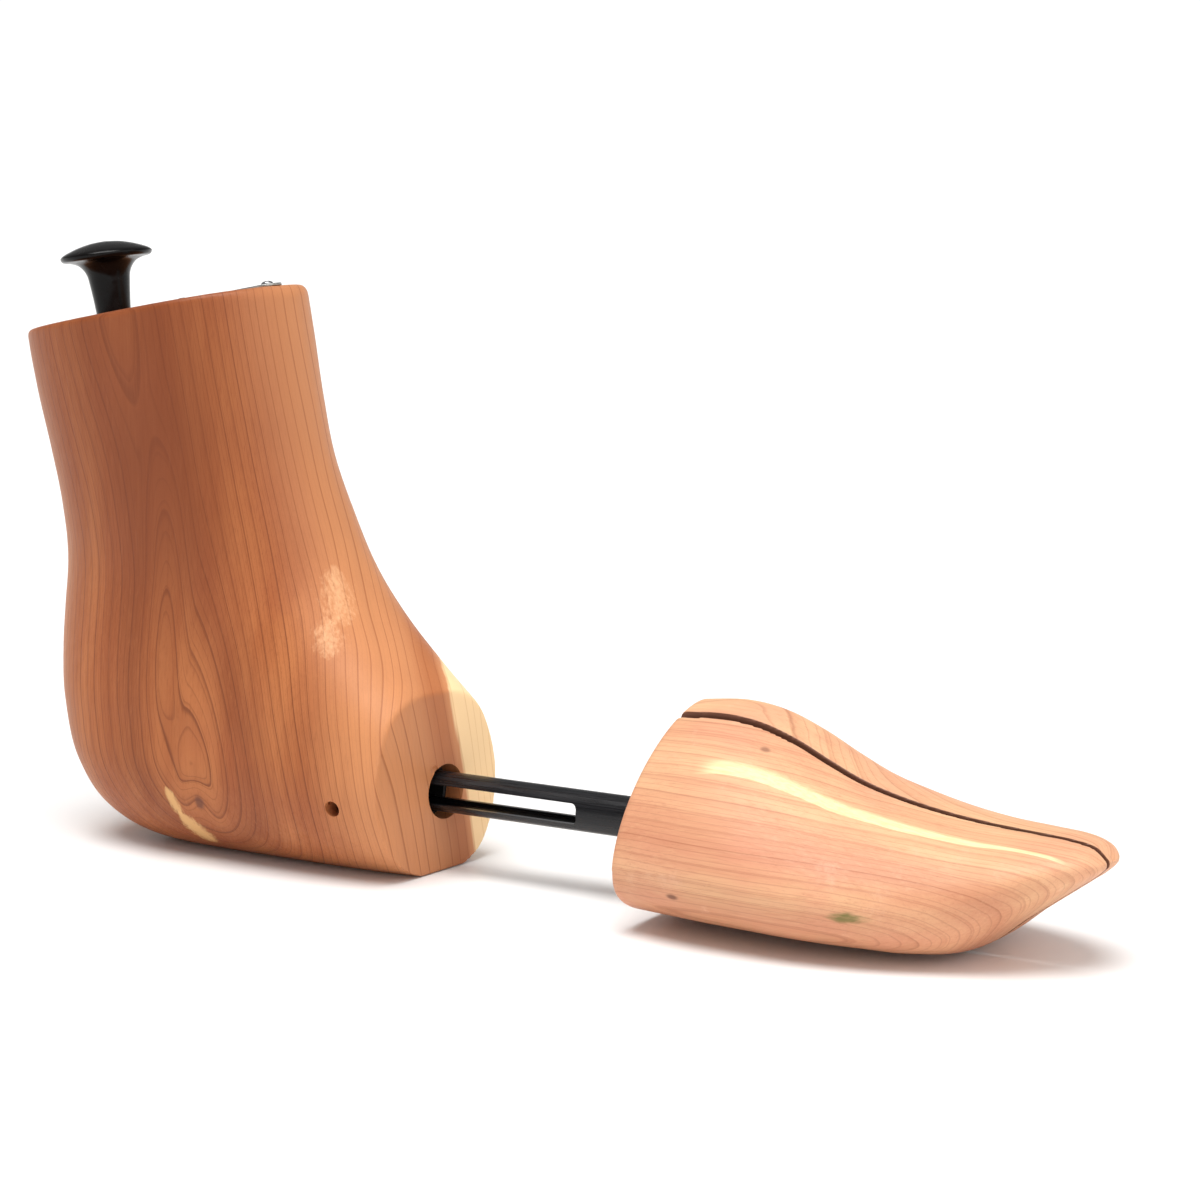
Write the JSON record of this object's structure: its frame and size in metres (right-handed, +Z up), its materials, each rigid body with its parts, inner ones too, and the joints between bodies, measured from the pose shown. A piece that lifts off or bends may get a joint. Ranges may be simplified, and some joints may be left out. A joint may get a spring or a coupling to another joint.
{
  "type": "boot tree",
  "caption": "Cedar boot tree for a right foot: tall heel block with a pull knob and name plate, spring-loaded slotted tube and a split toe whose halves spring apart.",
  "frame": {"origin": "middle of the whole tree's footprint at full length, on the surface that it stands on", "axes": "+X from heel to toe, +Y to the medial side of a right foot, +Z up"},
  "size_m": [0.3792, 0.0836, 0.1927],
  "materials": {
    "cedar_block": "sanded bare red cedar, grain upright, cream sapwood at the front, satin",
    "cedar_toe": "sanded bare red cedar, grain along the toe, one cream sapwood streak, satin",
    "black_lacquer": "gloss black turned knob",
    "black_tube": "satin black coated steel tube",
    "black_plastic": "matt black moulded sleeve",
    "bright_steel": "plated steel",
    "spring_steel": "drawn spring wire",
    "plate_metal": "thin grey sheet metal, blank, slightly dull"
  },
  "bodies": {
    "heel": {"heel_block": "cedar_block", "pull_knob": "black_lacquer", "knob_screw": "bright_steel", "name_plate": "plate_metal", "plate_screw_rear": "bright_steel", "plate_screw_front": "bright_steel", "tube_bushing": "black_plastic", "cross_pin": "bright_steel", "main_spring": "spring_steel"},
    "slide": {"slide_tube": "black_tube", "toe_lateral": "cedar_toe", "guide_pin_rear": "bright_steel", "guide_pin_front": "bright_steel", "spread_spring_rear": "spring_steel", "spread_spring_front": "spring_steel"},
    "toe_inner": {"toe_medial": "cedar_toe"}
  },
  "joints": [
    {"name": "length_slide", "type": "slide", "parent": "heel", "child": "slide", "axis": [1, 0, 0], "range_m": [-0.062, 0], "stiffness_N_per_m": 450, "springref_m": 0.03, "deforming": ["main_spring"]},
    {"name": "toe_spread", "type": "slide", "parent": "slide", "child": "toe_inner", "axis": [0, 1, 0], "range_m": [-0.0011, 0], "stiffness_N_per_m": 1500, "springref_m": 0.004, "deforming": ["spread_spring_rear", "spread_spring_front"]}
  ]
}
